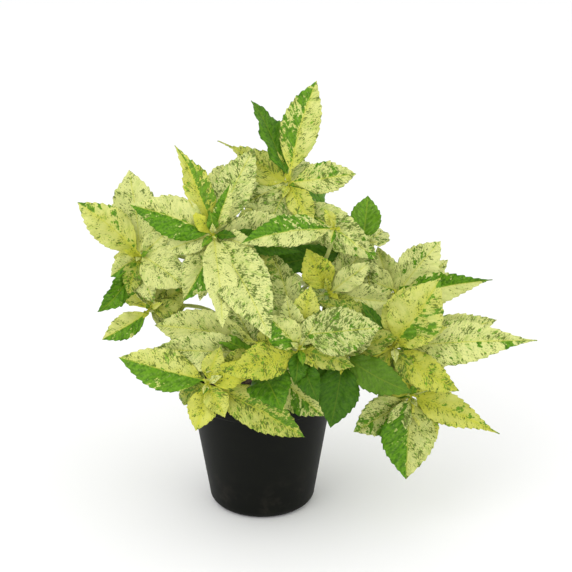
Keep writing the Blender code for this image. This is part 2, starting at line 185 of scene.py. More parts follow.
# The smaller leaves of each crown: clock round the crown's face, tilt towards its front, length and width in
# mm, roll, and kind. Some dark and olive ones fill gaps deep in the leaf mass as painted shade.
SPRIGS = {
    "top": (
        (-60, 18, 34, 18, 0, "lime"),
        (205, 4, 30, 16, 0, "speck"),
        (80, -60, 44, 20, 0, "speck"),
        (190, -50, 42, 20, 0, "mist"),
        (-10, -55, 46, 20, 0, "right"),
    ),
    "shoulder": ((120, 30, 16, 8, 20, "lime"), (-40, 10, 20, 10, 0, "speck")),
    "green": (
        # A long dark leaf behind the shoulder's left leaf: painted shade below that leaf.
        (194, -3, 92, 19, 0, "dark"),
        (-80, 5, 38, 16, 0, "mist"),
        (240, 8, 28, 13, 0, "olive"),
        (30, -60, 38, 18, 0, "speck"),
    ),
    "heart": (
        (200, 10, 34, 18, 0, "pale"),
        (-20, 20, 32, 14, 0, "pale"),
        (71, 14, 36, 11, 35, "left"),
        (-6, 34, 18, 7, 0, "dark"),
        (132, 28, 22, 10, 0, "gold"),
        (98, 32, 17, 8, 0, "bright"),
        (150, -50, 42, 20, 0, "speck"),
        (40, -60, 40, 20, 0, "mist"),
        (-80, -30, 40, 18, 0, "olive"),
        (-38, -14, 60, 25, 0, "olive"),
        (-11, -8, 60, 16, 0, "dark"),
        (258, -4, 45, 17, 0, "pale"),
        (-83, 33, 74, 23, 0, "bare"),
    ),
    "left": (
        (215, -5, 24, 14, 0, "left"),
        (255, 16, 28, 15, 0, "olive"),
        (-72, 10, 34, 18, 0, "speck"),
        (40, 20, 30, 15, 0, "pale"),
        (70, -50, 42, 20, 0, "speck"),
        (-50, -55, 40, 20, 0, "mist"),
        (170, -60, 36, 18, 0, "lime"),
    ),
    "low_left": (
        (62, 2, 22, 14, 0, "olive"),
        (4, 10, 26, 14, 0, "olive"),
        (102, -8, 30, 16, 0, "speck"),
        (150, -50, 34, 17, 0, "lime"),
        (-30, -60, 36, 18, 0, "speck"),
    ),
    "sill": (
        (101, -25, 70, 22, 0, "olive"),
        (88, -20, 72, 26, 0, "olive"),
        (158, 10, 40, 9, 20, "bright"),
        (58, 8, 32, 17, 0, "lime"),
        (190, 20, 30, 15, 0, "lime"),
        (120, -10, 44, 20, 0, "mist"),
    ),
    "brim": (
        (70, 10, 26, 15, 0, "lime"),
        (20, 14, 36, 18, 0, "gold"),
        (-62, 14, 25, 17, 0, "lime"),
        (140, -20, 36, 18, 0, "speck"),
        (210, -40, 30, 16, 0, "olive"),
    ),
    "front": (
        (104, 14, 37, 17, 0, "pale"),
        (80, 0, 42, 22, 0, "lime"),
        (-48, 16, 18, 10, 0, "lime"),
        (62, 18, 30, 17, 0, "mist"),
        (262, 14, 24, 14, 0, "dark"),
        (134, 34, 40, 22, -25, "left"),
        (-18, 8, 38, 15, 0, "olive"),
    ),
    "step": (
        (100, 4, 22, 14, 0, "dark"),
        (232, -4, 32, 15, 0, "dark"),
        (165, 0, 32, 16, 0, "olive"),
        (20, -6, 40, 20, 0, "olive"),
        (40, 10, 30, 15, 0, "speck"),
        (-80, -50, 34, 18, 0, "olive"),
    ),
    "middle": (
        (200, 8, 28, 15, 0, "mist"),
        (-35, 12, 28, 14, 0, "olive"),
        (-8, -8, 42, 22, 0, "pale"),
        (38, 4, 34, 17, 0, "pale"),
        (-80, 0, 30, 16, 0, "olive"),
        (60, -60, 38, 18, 0, "mist"),
    ),
    "right": (
        (148, 10, 64, 14, 72, "pale"),
        (111, 0, 36, 21, 0, "pale"),
        (236, 0, 42, 22, 0, "pale"),
        (34, -14, 46, 18, 0, "pale"),
        (-25, 8, 32, 17, 0, "lime"),
        (80, -60, 46, 22, 0, "speck"),
        (-40, -55, 46, 22, 0, "right"),
        (180, -50, 40, 20, 0, "mist"),
    ),
    "far": (
        (127, 0, 36, 9, 0, "dark"),
        (150, -8, 60, 20, 0, "olive"),
        (-60, 10, 34, 18, 0, "olive"),
        (190, -8, 40, 18, 0, "olive"),
        (216, -12, 44, 22, 0, "olive"),
        (80, 5, 40, 20, 0, "lime"),
        (20, 24, 40, 18, 0, "lime"),
        (248, 6, 32, 17, 0, "olive"),
        (228, 12, 26, 14, 0, "gold"),
        (-15, -60, 44, 20, 0, "speck"),
        (40, -55, 40, 20, 0, "lime"),
    ),
    "low_right": (
        (240, 12, 34, 16, 0, "mist"),
        (150, -10, 36, 18, 0, "lime"),
        (60, 6, 40, 20, 0, "lime"),
        (95, 10, 36, 18, 0, "gold"),
        (-58, 4, 34, 16, 0, "lime"),
        (30, -60, 46, 22, 0, "speck"),
        (200, -55, 40, 20, 0, "right"),
        (110, -30, 30, 16, 0, "olive"),
    ),
    "rear_top": (
        (10, 35, 46, 22, 0, "speck"),
        (165, 35, 46, 22, 0, "left"),
        (300, 30, 44, 22, 0, "lime"),
        (110, 45, 40, 19, 0, "pale"),
        (205, 20, 38, 18, 0, "mist"),
        (60, 60, 26, 12, 0, "gold"),
    ),
    "rear_left": (
        (70, 38, 44, 21, 0, "right"),
        (150, 30, 46, 22, 0, "pale"),
        (215, 25, 42, 21, 0, "speck"),
        (-20, 45, 42, 20, 0, "lime"),
        (110, 60, 28, 13, 0, "lime"),
        (270, 60, 30, 14, 0, "bright"),
    ),
    "rear_right": (
        (70, 38, 44, 21, 0, "speck"),
        (20, 30, 46, 22, 0, "left"),
        (-40, 25, 44, 21, 0, "pale"),
        (205, 40, 42, 20, 0, "mist"),
        (120, 60, 28, 13, 0, "gold"),
        (280, 60, 34, 16, 0, "speck"),
    ),
}
YOUNG = ("bright", "gold", "lime", "left", "pale")
LEAF_NODES = sorted(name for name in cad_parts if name.startswith("leaf_"))
STEM_NODES = sorted(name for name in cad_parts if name.startswith("stem_"))


# ---- settings


def length(name, description, default):
    return bpy.props.FloatProperty(name=name, description=description, default=default, unit="LENGTH")


def colour(name, description, default):
    return bpy.props.FloatVectorProperty(
        name=name, description=description, default=default, size=3, subtype="COLOR", min=0, max=1
    )


def count(name, description, default):
    return bpy.props.IntProperty(name=name, description=description, default=default, min=1)


class PELLIONIA_PG_leaf(bpy.types.PropertyGroup):
    thickness: length("Blade thickness", "Thickness of a leaf's blade", 0.45 * MM)
    tooth: length("Tooth depth", "How far the teeth of the margin stand out", 1.0 * MM)
    teeth: count("Teeth", "Teeth along each margin of a large leaf", 11)
    quilting: length("Quilting", "How far the blade swells between its side veins", 1.0 * MM)
    wave: length("Wave", "How far the margin waves up and down", 1.9 * MM)
    veins: count("Side veins", "Side veins in each half of a leaf", 6)
    young: count("Young leaves", "Unfolding leaves at the heart of each crown", 3)
    cream: colour("Cream", "Ground colour of a grown leaf", (0.675, 0.70, 0.25))
    pale: colour("Pale green", "Ground colour where the green is thinned out", (0.455, 0.54, 0.185))
    yellow: colour("Yellow", "Ground colour of a young leaf and of a leaf's base", (0.54, 0.555, 0.05))
    fresh: colour("Fresh green", "Clouds of light green on the ground", (0.30, 0.44, 0.05))
    bright: colour("Bright green", "Lighter green of the patches", (0.135, 0.325, 0.009))
    speck: colour("Speck", "Colour of the fine specks", (0.085, 0.135, 0.014))
    deep: colour("Deep green", "Darker green of the patches and specks", (0.034, 0.122, 0.002))


class PELLIONIA_PG_stem(bpy.types.PropertyGroup):
    light: colour("Stem", "Colour of the young stem", (0.45, 0.50, 0.14))
    dark: colour("Stem shade", "Colour of the old stem near the soil", (0.16, 0.20, 0.05))
    stalk: length("Stalk radius", "Radius of a leaf's stalk", 0.9 * MM)


class PELLIONIA_PG_pot(bpy.types.PropertyGroup):
    plastic: colour("Plastic", "Colour of the pot", (0.0040, 0.0046, 0.0032))
    soil: colour("Soil", "Colour of the moist soil", (0.030, 0.019, 0.011))
    dry: colour("Dry soil", "Colour of the dry crumbs", (0.095, 0.062, 0.038))
    crumbs: count("Crumbs", "Loose crumbs lying on the soil", 420)


class PELLIONIA_PG_stage(bpy.types.PropertyGroup):
    floor: colour("Floor", "Colour of the floor and the backdrop", (0.93, 0.93, 0.93))
    light: bpy.props.FloatProperty(
        name="Light", description="Strength of the white surroundings", default=1.05, min=0
    )


# ---- shaders


class Wire:
    """A shader socket that adds Math nodes when it is calculated with."""

    def __init__(self, tree, socket):
        self.tree = tree
        self.socket = socket

    def math(self, operation, *values):
        return self.tree.node("ShaderNodeMath", {"operation": operation}, values)

    def __add__(self, other):
        return self.math("ADD", self, other)

    def __sub__(self, other):
        return self.math("SUBTRACT", self, other)

    def __rsub__(self, other):
        return self.math("SUBTRACT", other, self)

    def __mul__(self, other):
        return self.math("MULTIPLY", self, other)

    __radd__ = __add__
    __rmul__ = __mul__

    def __abs__(self):
        return self.math("ABSOLUTE", self)

    def over(self, low, high):
        """0 below low, 1 above high, and smooth between them; high may be the lower one."""
        return self.tree.node(
            "ShaderNodeMapRange",
            {"interpolation_type": "SMOOTHSTEP"},
            {"Value": self, "From Min": low, "From Max": high, "To Min": 0.0, "To Max": 1.0},
        )

    def above(self, other):
        return self.math("MAXIMUM", self, other)


class Tree:
    """The node tree of a new material with a Principled BSDF."""

    def __init__(self, name):
        self.material = bpy.data.materials.new(name)
        self.material.use_nodes = True
        self.nodes = self.material.node_tree.nodes
        self.links = self.material.node_tree.links
        self.shader = self.nodes["Principled BSDF"]

    def put(self, socket, value):
        if isinstance(value, Wire):
            self.links.new(value.socket, socket)
        elif hasattr(socket.default_value, "__len__") and len(socket.default_value) == 4:
            socket.default_value = (*value[:3], 1)
        else:
            socket.default_value = value

    def node(self, kind, settings=None, values=(), output=0):
        """A node of a kind, with its settings made first and then its sockets filled by place or by name."""
        made = self.nodes.new(kind)
        for name, setting in (settings or {}).items():
            setattr(made, name, setting)
        pairs = values.items() if isinstance(values, dict) else enumerate(values)
        for key, value in pairs:
            self.put(made.inputs[key], value)
        return Wire(self, made.outputs[output])

    def set(self, **values):
        """Fills sockets of the Principled BSDF; an underscore stands for a space."""
        for name, value in values.items():
            self.put(self.shader.inputs[name.replace("_", " ")], value)

    def attribute(self, name, output="Fac"):
        return self.node("ShaderNodeAttribute", {"attribute_name": name}, output=output)

    def split(self, vector):
        made = self.nodes.new("ShaderNodeSeparateXYZ")
        self.links.new(vector.socket, made.inputs[0])
        return [Wire(self, made.outputs[i]) for i in range(3)]

    def join(self, x, y, z):
        return self.node("ShaderNodeCombineXYZ", {}, (x, y, z))

    def place(self):
        return self.node("ShaderNodeTexCoord", {}, output="Object")

    def noise(self, vector, scale, detail=2.0, roughness=0.5):
        values = {"Vector": vector, "Scale": scale, "Detail": detail, "Roughness": roughness}
        return self.node("ShaderNodeTexNoise", {}, values)

    def mix(self, factor, a, b):
        """Mixes colours, which go in at sockets 6 and 7 and come out at 2."""
        return self.node("ShaderNodeMix", {"data_type": "RGBA"}, {0: factor, 6: a, 7: b}, 2)

    def bump(self, height, strength, distance):
        values = {"Height": height, "Strength": strength, "Distance": distance}
        self.put(self.shader.inputs["Normal"], self.node("ShaderNodeBump", {}, values))


VEIN_SLANT = 0.85  # steps that a side vein runs forwards for each step out
SPECK_LEVEL = 0.680  # noise above this level is a speck on the plainest leaf
SPECK_RANGE = 0.13  # how much lower the level is on the most specked one
SPECK_DRIFT = 0.50  # how much it drifts over a blade


def leaf_material(name, settings, under=False):
    """Cream ground with green halves, ragged patches and fine specks that follow the side veins.

    The mesh's attributes say where on the leaf a point is: "spot" holds its distance across and along in
    centimetres and the leaf's own number, "habit" its share across (-1 to 1) and along (0 to 1) and how much
    green grows there, "ground" how yellow, how specked and how shaded it is; the shade is painted, partly the
    leaf's own deeper green and partly the shadow of the leaves around it.
    """
    tree = Tree(name)
    across, along, number = tree.split(tree.attribute("spot", "Vector"))
    side, reach, green = tree.split(tree.attribute("habit", "Vector"))
    yellow, speck, shade = tree.split(tree.attribute("ground", "Vector"))
    out = abs(across)
    # Across and along the side veins, which leave the midrib at half a right angle.
    rank = along - out * VEIN_SLANT
    run = out + along * 0.45
    half = side.over(-0.02, 0.02) * 5.3 + number
    veins = tree.join(rank, run, half)
    rough = tree.noise(veins, 3.4, 3.0, 0.65)
    # The wide patches: a ragged field cut at a level that the leaf's habit sets.
    broad = tree.noise(tree.join(rank, run * 0.5, half), 1.25, 3.0, 0.62)
    field = (broad * 0.62 + rough * 0.38) * 1.3 - 0.15
    patch = (field + green * 0.6 - abs(side) * 0.07).over(0.74, 0.78)
    # Specks: short strokes along the veins, thickest where the leaf is most specked.
    strokes = tree.noise(tree.join(rank * 1.6, run * 0.75, half), 4.3, 2.0, 0.6)
    dust = tree.noise(tree.join(rank * 1.5, run * 0.8, half + 2.0), 8.6, 1.0, 0.5)
    drift = tree.noise(tree.join(across, along, number + 9.0), 1.5, 1.0, 0.5)
    level = SPECK_LEVEL - speck * SPECK_RANGE - (drift - 0.5) * SPECK_DRIFT
    mark = (strokes - level).over(0.0, 0.02)
    dot = (dust - level - 0.015).over(0.0, 0.03) * 0.85
    specks = mark.above(dot)
    # Greens.
    tint = tree.noise(tree.join(rank, run * 0.6, half + 4.0), 4.5, 2.0, 0.6)
    greens = tree.mix(tint.over(0.30, 0.66) * 0.8 + 0.1, settings.deep, settings.bright)
    greens = tree.mix(yellow.over(0.3, 1.0) * 0.3, greens, settings.fresh)
    flecks = (strokes - 0.66).over(0.0, 0.04) * 0.3
    patches = tree.mix(flecks, greens, settings.pale)
    # Ground.
    veil = tree.noise(tree.join(rank, run * 0.5, half + 6.0), 7.0, 2.0, 0.6).over(0.42, 0.66)
    pale = tree.mix(veil * (speck * 0.6 + 0.15), settings.cream, settings.pale)
    cloud = tree.noise(tree.join(rank * 0.9, run * 0.45, half + 11.0), 2.3, 2.0, 0.6)
    warmth = yellow + reach.over(0.35, 0.0) * 0.35 + abs(side).over(0.4, 0.0) * 0.15 + (drift - 0.5) * 0.5
    ground = tree.mix(warmth.over(0.1, 1.05), pale, settings.yellow)
    ground = tree.mix(cloud.over(0.5, 0.68) * (speck * 0.5 + 0.1), ground, settings.fresh)
    dots = tree.mix((tint - yellow * 0.06).over(0.34, 0.46), settings.bright, settings.speck)
    body = tree.mix(specks * 0.9, ground, dots)
    skin = tree.mix(patch, body, patches)
    # Veins: a pale midrib, and side veins a shade away from what they cross.
    rib = out.over(0.055, 0.02) * reach.over(1.0, 0.8)
    skin = tree.mix(rib * (0.5 - patch * 0.28), skin, settings.yellow)
    vein = tree.attribute("vein")
    skin = tree.mix(vein * 0.22, skin, settings.pale)
    # Painted shade: the shade value darkens the leaf towards deep green, partly its own deeper green and
    # partly the shadow that it lies in.
    skin = tree.mix(shade, skin, [c * 0.6 for c in settings.deep])
    if under:
        skin = tree.mix(0.42, skin, settings.pale)
    tree.set(Base_Color=skin, Roughness=0.62 if under else tint * 0.16 + 0.46, Specular_IOR_Level=0.16)
    grain = tree.noise(tree.join(across, along, number), 26.0, 2.0, 0.6)
    tree.bump(grain * 0.3 - vein * 0.8, 0.55, 0.25 * MM)
    return tree.material


def stem_material(settings):
    """Fleshy stem: pale green, darker towards the soil, with fine lengthwise streaks."""
    tree = Tree("fleshy_stem")
    place = tree.place()
    x, y, z = tree.split(place)
    soil_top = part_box("soil")[1].z
    low = z.over(soil_top + 0.05, soil_top)
    streaks = tree.noise(tree.join(x * 900, y * 900, z * 60), 1.0, 2.0, 0.6)
    mottle = tree.noise(place, 160.0, 3.0, 0.6)
    skin = tree.mix(streaks.over(0.35, 0.7) * 0.35, settings.light, settings.dark)
    skin = tree.mix(low * 0.8, skin, settings.dark)
    skin = tree.mix(mottle.over(0.55, 0.75) * 0.3, skin, (0.30, 0.20, 0.09))
    tree.set(Base_Color=skin, Roughness=streaks * 0.2 + 0.34)
    tree.bump(streaks * 0.6 + mottle * 0.4, 0.4, 0.3 * MM)
    return tree.material


def plastic_material(settings):
    """Moulded black plastic: a fine grain, faint flow marks and a little dust near the foot."""
    tree = Tree("pot_plastic")
    place = tree.place()
    x, y, z = tree.split(place)
    grain = tree.noise(place, 1400.0, 2.0, 0.6)
    flow = tree.noise(tree.join(x * 14, y * 14, z * 55), 1.0, 3.0, 0.6)
    dust = tree.noise(place, 60.0, 4.0, 0.7).over(0.5, 0.75) * z.over(0.05, 0.0)
    skin = tree.mix(flow.over(0.4, 0.7) * 0.5, settings.plastic, [c * 1.7 for c in settings.plastic])
    skin = tree.mix(dust * 0.10, skin, (0.16, 0.13, 0.10))
    tree.set(Base_Color=skin, Roughness=flow * 0.14 + grain * 0.08 + 0.40, Specular_IOR_Level=0.09)
    tree.bump(grain * 0.5 + flow, 0.12, 0.3 * MM)
    return tree.material


def soil_material(settings):
    """Potting mix: dark moist lumps with dry fibres."""
    tree = Tree("potting_soil")
    place = tree.place()
    lumps = tree.noise(place, 220.0, 4.0, 0.7)
    fine = tree.noise(place, 900.0, 3.0, 0.7)
    skin = tree.mix(lumps.over(0.42, 0.62), settings.soil, settings.dry)
    skin = tree.mix(fine.over(0.6, 0.75) * 0.5, skin, [c * 1.9 for c in settings.dry])
    tree.set(Base_Color=skin, Roughness=lumps * 0.2 + 0.78)
    tree.bump(lumps + fine * 0.5, 0.8, 1.2 * MM)
    return tree.material


def grit_material(settings):
    """White volcanic grit, dusted with soil."""
    tree = Tree("white_grit")
    place = tree.place()
    dust = tree.noise(place, 700.0, 3.0, 0.6)
    skin = tree.mix(dust.over(0.45, 0.65), (0.62, 0.60, 0.55), settings.dry)
    tree.set(Base_Color=skin, Roughness=dust * 0.2 + 0.7)
    tree.bump(dust, 0.6, 0.5 * MM)
    return tree.material


def floor_material(settings):
    tree = Tree("studio_floor")
    tree.set(Base_Color=settings.floor, Roughness=0.9, Specular_IOR_Level=0.1)
    return tree.material


def finish(name):
    """A material made once and shared."""
    made = bpy.data.materials.get(name)
    if made:
        return made
    scene = bpy.context.scene
    leaf, stem, pot = scene.pellionia_leaf, scene.pellionia_stem, scene.pellionia_pot
    makers = {
        "variegated_leaf": lambda: leaf_material("variegated_leaf", leaf),
        "leaf_underside": lambda: leaf_material("leaf_underside", leaf, under=True),
        "fleshy_stem": lambda: stem_material(stem),
        "pot_plastic": lambda: plastic_material(pot),
        "potting_soil": lambda: soil_material(pot),
        "white_grit": lambda: grit_material(pot),
        "studio_floor": lambda: floor_material(scene.pellionia_stage),
    }
    return makers[name]()


# ---- tools


def deselect():
    if bpy.context.mode != "OBJECT":
        bpy.ops.object.mode_set(mode="OBJECT")
    bpy.ops.object.select_all(action="DESELECT")


def take(obj):
    """Makes obj the one selected and active object."""
    deselect()
    obj.select_set(True)
    bpy.context.view_layer.objects.active = obj


def named(obj, name):
    obj.name = name
    obj.data.name = name
    return obj


def apply_modifier(obj, kind, **settings):
    take(obj)
    modifier = obj.modifiers.new(kind.lower(), kind)
    for key, value in settings.items():
        setattr(modifier, key, value)
    bpy.ops.object.modifier_apply(modifier=modifier.name)


def smooth(obj, degrees):
    take(obj)
    bpy.ops.object.shade_smooth_by_angle(angle=math.radians(degrees))


def smooth_all(obj):
    obj.data.polygons.foreach_set("use_smooth", [True] * len(obj.data.polygons))


def dress(obj, *finishes):
    """Gives a piece its finishes and no others."""
    obj.data.materials.clear()
    for name in finishes:
        obj.data.materials.append(finish(name))


def edit_all(obj, operator, **settings):
    """Runs an edit mode operator over all of a mesh."""
    take(obj)
    bpy.ops.object.mode_set(mode="EDIT")
    bpy.ops.mesh.select_all(action="SELECT")
    operator(**settings)
    bpy.ops.object.mode_set(mode="OBJECT")


def merge(objects, name):
    """Several meshes made one object."""
    deselect()
    for obj in objects:
        obj.select_set(True)
    bpy.context.view_layer.objects.active = objects[0]
    bpy.ops.object.join()
    return named(objects[0], name)


def hand_in(obj, slot, *nodes):
    """The finished piece rides with the plant and hides the CAD nodes that it stands in for; the slot is not
    used.
    """
    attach(obj, BODY)
    if nodes:
        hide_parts(*nodes)


# ---- leaf modelling

ROWS, COLUMNS = 66, 20  # faces along and across a large leaf
FULL_REACH = 50 * MM  # length of a leaf with full-sized teeth, waves and bumps
STALK_SHARE = 0.04  # share of a leaf's length before its blade begins
BASE_ROUND = 0.92  # how bluntly the blade begins
TIP_DRAW = 1.15  # how far the blade draws out into its tip
TIP_TAIL = 0.04  # width of the tail at the tip, as a share of the blade's
TOOTH_RISE = 0.78  # share of a tooth that rises
VEIN_SWEEP = 0.34  # how far a side vein runs forwards, as a share of the blade's length
MIDRIB = 0.9 * MM  # radius of the channel along the midrib
FINEST = 0.12 * MM  # half width that no part of a leaf goes under
BUMP = 0.9 * MM  # height of the blade's irregular bumps
INTO_CROWN = 3.2 * MM  # how far a large leaf's base runs on into its crown
CROWN_CLEARANCE = 4.5 * MM  # how far the plain solids stop short of their crown's middle
LEAF_END = 0.9 * MM  # depth of the ends that a plain solid is measured at
MIDDLE_STRIP = 1.5 * MM  # half width of the strip that its arch is measured on
SPRIG_START = 1.5 * MM  # how far from its crown's middle a small leaf starts
SPRIG_SAG = 0.07  # arch of a small leaf, as a share of its length
SKYWARD = Vector((0, 0, 0.25))  # turns a small leaf's face a little to the sky
# What the leaf's finish reads off the mesh, and what a stalk has of each.
MARKS = (("spot", "FLOAT_VECTOR"), ("habit", "FLOAT_VECTOR"), ("ground", "FLOAT_VECTOR"), ("vein", "FLOAT"))
STALK_MARKS = ((0.0, 0.0, 3.0), (0.0, 0.1, 0.0), (0.8, 0.0, 0.0), 0.0)


@dataclass
class Lie:
    """How a leaf lies: its base, the ways along, across and up from its upper side, and its three sizes."""

    base: Vector
    along: Vector
    across: Vector
    upper: Vector
    reach: float
    width: float
    sag: float


def lie_of(node):
    """Reads how a leaf lies off its plain solid: the longest way through it runs from stalk to tip."""
    points = [v.co.copy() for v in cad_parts[node].data.vertices]
    middle = sum(points, Vector()) / len(points)
    start = max(points, key=lambda p: (p - middle).length)
    end = max(points, key=lambda p: (p - start).length)
    start = max(points, key=lambda p: (p - end).length)

    def ends(at, other):
        way = (other - at).normalized()
        return [p for p in points if (p - at).dot(way) < LEAF_END]

    def spread(group):
        return max((p - q).length for p in group for q in group)

    near, far = ends(start, end), ends(end, start)
    if spread(near) < spread(far):
        near, far = far, near
    base = sum(near, Vector()) / len(near)
    tip = sum(far, Vector()) / len(far)
    along = (tip - base).normalized()
    aside = [(p - base) - along * (p - base).dot(along) for p in points]
    wide = max(((a - b) for a in aside for b in aside), key=lambda d: d.length)
    across = (wide - along * wide.dot(along)).normalized()
    upper = across.cross(along)
    height = [a.dot(upper) for a in aside]
    if sum(height) < 0:
        upper = -upper
        across = -across
        height = [-h for h in height]
    arch = max(h for h, a in zip(height, aside) if abs(a.dot(across)) < MIDDLE_STRIP)
    start = base - along * INTO_CROWN
    return Lie(start, along, across, upper, (tip - start).length, wide.length, max(arch, 0.0))


def crown_of(name):
    """Where the large leaves of a crown meet, and the ways right, up and out of its face."""
    lies = [lie_of(node) for node in LEAF_NODES if node.startswith(f"leaf_{name}_")]
    place = sum((lie.base - lie.along * (CROWN_CLEARANCE - INTO_CROWN) for lie in lies), Vector()) / len(lies)
    turn = Matrix.Rotation(math.pi if name.startswith("rear") else 0, 3, "Z")
    right = turn @ Vector((1, 0, 0))
    up = turn @ Vector((0, math.sin(ELEVATION), math.cos(ELEVATION)))
    out = turn @ Vector((0, -math.cos(ELEVATION), math.sin(ELEVATION)))
    return place, right, up, out


def lie_at(crown, clock, tilt, reach, width, roll):
    """How a smaller leaf lies in a crown."""
    place, right, up, out = crown
    clock, tilt = math.radians(clock), math.radians(tilt)
    along = (right * math.cos(clock) + up * math.sin(clock)) * math.cos(tilt) + out * math.sin(tilt)
    facing = out + SKYWARD
    upper = (facing - along * facing.dot(along)).normalized()
    upper = Matrix.Rotation(math.radians(roll), 3, along) @ upper
    base = place + along * SPRIG_START
    return Lie(base, along, along.cross(upper), upper, reach, width, reach * SPRIG_SAG)


def fade(share, rate):
    """0 where share is 0, and 1 once it reaches 1 / rate."""
    return min(1, share * rate)


def blade_width(t, draw):
    """Half width at a share of the blade's length, 1 at its widest."""
    if t <= 0 or t >= 1:
        return 0.0
    peak = BASE_ROUND / (BASE_ROUND + draw)
    body = (t / peak) ** BASE_ROUND * ((1 - t) / (1 - peak)) ** draw
    return body + TIP_TAIL * (1 - t) * fade(t, 4)


def tooth(phase):
    """A forward-pointing tooth: a long rise and a quick fall."""
    phase %= 1.0
    return phase / TOOTH_RISE if phase < TOOTH_RISE else (1 - phase) / (1 - TOOTH_RISE)


def vein_mark(t, s, veins):
    """1 on a side vein and 0 halfway between two; the veins sweep forwards as they run out."""
    phase = (t - VEIN_SWEEP * abs(s) ** 0.85) * (veins + 1)
    return abs((phase % 1.0) - 0.5) * 2


class Blade:
    """One leaf's shape: where each point of a flat sheet goes, and what the finish reads there.

    A point has a share across, s from -1 to 1, and a share along, v with the stalk's end and flat without it.
    """

    def __init__(self, lie, paint, seed, settings, draw):
        self.lie, self.paint, self.settings, self.draw = lie, paint, settings, draw
        self.grown = min(1.0, lie.reach / FULL_REACH)
        self.teeth = max(6, round(settings.teeth * min(1.15, 0.55 + lie.reach / (2.2 * FULL_REACH))))
        pick = random.Random(seed)
        self.fold = math.radians(pick.uniform(17, 31))
        self.twist = math.radians(pick.uniform(-24, 24))
        self.curl = pick.uniform(0.5, 1.5)
        self.ripple = pick.uniform(2.2, 3.4)
        self.phase = pick.uniform(0, 1)
        self.skew = pick.uniform(-0.05, 0.05)
        self.sway = pick.uniform(-0.035, 0.035)
        self.number = pick.uniform(-40, 40)

    def outline(self, s, v, flat):
        """Half width, teeth counted in, and how far along the point comes."""
        half = blade_width(flat + self.skew * s * flat * (1 - flat), self.draw) * self.lie.width / 2
        stalk = MIDRIB * (1 - 0.4 * flat) * max(0.0, 1 - flat * 3)
        forward = v * self.lie.reach
        if flat > 0:
            depth = abs(s) ** 6 * self.settings.tooth * self.grown * fade(flat, 7) * fade(1 - flat, 4) ** 0.7
            notch = tooth(flat * self.teeth + 0.3 * (s > 0) + self.phase)
            half += depth * (notch - 0.35)
            forward += depth * notch * 0.9
        return max(stalk, half, FINEST), forward

    def height(self, s, flat, side, forward, mark):
        """Height over the sheet: halves that rise from a channel, quilting, a waved margin and bumps."""
        rise = math.hypot(side, MIDRIB) - MIDRIB
        height = rise * math.tan(self.fold) * (1 - 0.35 * abs(s))
        body = fade(abs(s), 3) * (1 - abs(s) ** 3) * fade(flat, 6) * fade(1 - flat, 5)
        height += self.settings.quilting * self.grown * body * (0.5 - mark**2)
        wave = math.sin(math.tau * (self.ripple * flat + self.phase + 0.31 * (s > 0)))
        height += self.settings.wave * self.grown * abs(s) ** 2.2 * wave * fade(flat, 4) * fade(1 - flat, 3)
        bump = noise.noise(Vector((side * 90, forward * 60, self.number)))
        return height + BUMP * self.grown * bump * fade(flat, 4)

    def point(self, s, v):
        """Where a point goes, and its values for MARKS."""
        lie = self.lie
        flat = max(0.0, min(1.0, (v - STALK_SHARE) / (1 - STALK_SHARE)))
        half, forward = self.outline(s, v, flat)
        side = s * half
        mark = vein_mark(flat, s, self.settings.veins)
        height = self.height(s, flat, side, forward, mark)
        # Arch, with more of the bend near the tip, and a twist along the length.
        bend = math.sin(math.pi * min(1, v**1.7)) - 0.6 * math.sin(math.pi * v)
        arch = lie.sag * 4 * v * (1 - v) + lie.reach * 0.055 * self.curl * bend
        lean = self.twist * (v - 0.35)
        x = side * math.cos(lean) - height * math.sin(lean) + lie.reach * self.sway * math.sin(math.pi * v)
        z = side * math.sin(lean) + height * math.cos(lean) + arch
        place = lie.base + lie.across * x + lie.along * forward + lie.upper * z
        # The paint's last value, shade, carries painted shade (with the leaf's own deeper green) into
        # "ground".
        left, right, yellow, speck, tip_green, shade = self.paint
        green = (left + right) / 2 if abs(s) < 0.05 else left if s < 0 else right
        green += tip_green * max(0.0, flat - 0.55) * 1.6
        vein = max(0.0, mark - 0.8) * 5 * fade(abs(s), 12) * (1 - abs(s) ** 4) * fade(flat, 5)
        spot = side * 100, forward * 100, self.number
        return place, spot, (s, flat, min(1.0, green)), (yellow, speck, shade), vein


def grow_leaf(name, lie, paint, seed, settings, detail=1.0, draw=TIP_DRAW):
    """A leaf as a thin closed shell: a grid primitive shaped point by point, then thickened."""
    rows, columns = int(ROWS * detail), max(8, int(COLUMNS * detail) // 2 * 2)
    deselect()
    bpy.ops.mesh.primitive_grid_add(x_subdivisions=columns, y_subdivisions=rows, size=2)
    leaf = named(bpy.context.object, name)
    blade = Blade(lie, paint, seed, settings, draw)
    points = [blade.point(vertex.co.x, (vertex.co.y + 1) / 2) for vertex in leaf.data.vertices]
    places, *values = zip(*points)
    for vertex, place in zip(leaf.data.vertices, places):
        vertex.co = place
    for (mark, kind), value in zip(MARKS, values):
        write_attribute(leaf.data, mark, kind, value)
    dress(leaf, "variegated_leaf", "leaf_underside")
    apply_modifier(
        leaf, "SOLIDIFY", thickness=settings.thickness, offset=-1, material_offset=1, material_offset_rim=0
    )
    smooth_all(leaf)
    return leaf


def write_attribute(mesh, name, kind, values):
    layer = mesh.attributes.new(name, kind, "POINT")
    if kind == "FLOAT":
        layer.data.foreach_set("value", values)
    else:
        layer.data.foreach_set("vector", [number for value in values for number in value])


def stem_surfaces():
    """One search tree over all the stems of the frame."""
    corners, faces = [], []
    for name in STEM_NODES:
        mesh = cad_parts[name].data
        start = len(corners)
        corners += [v.co.copy() for v in mesh.vertices]
        faces += [[start + i for i in p.vertices] for p in mesh.polygons]
    return BVHTree.FromPolygons(corners, faces)


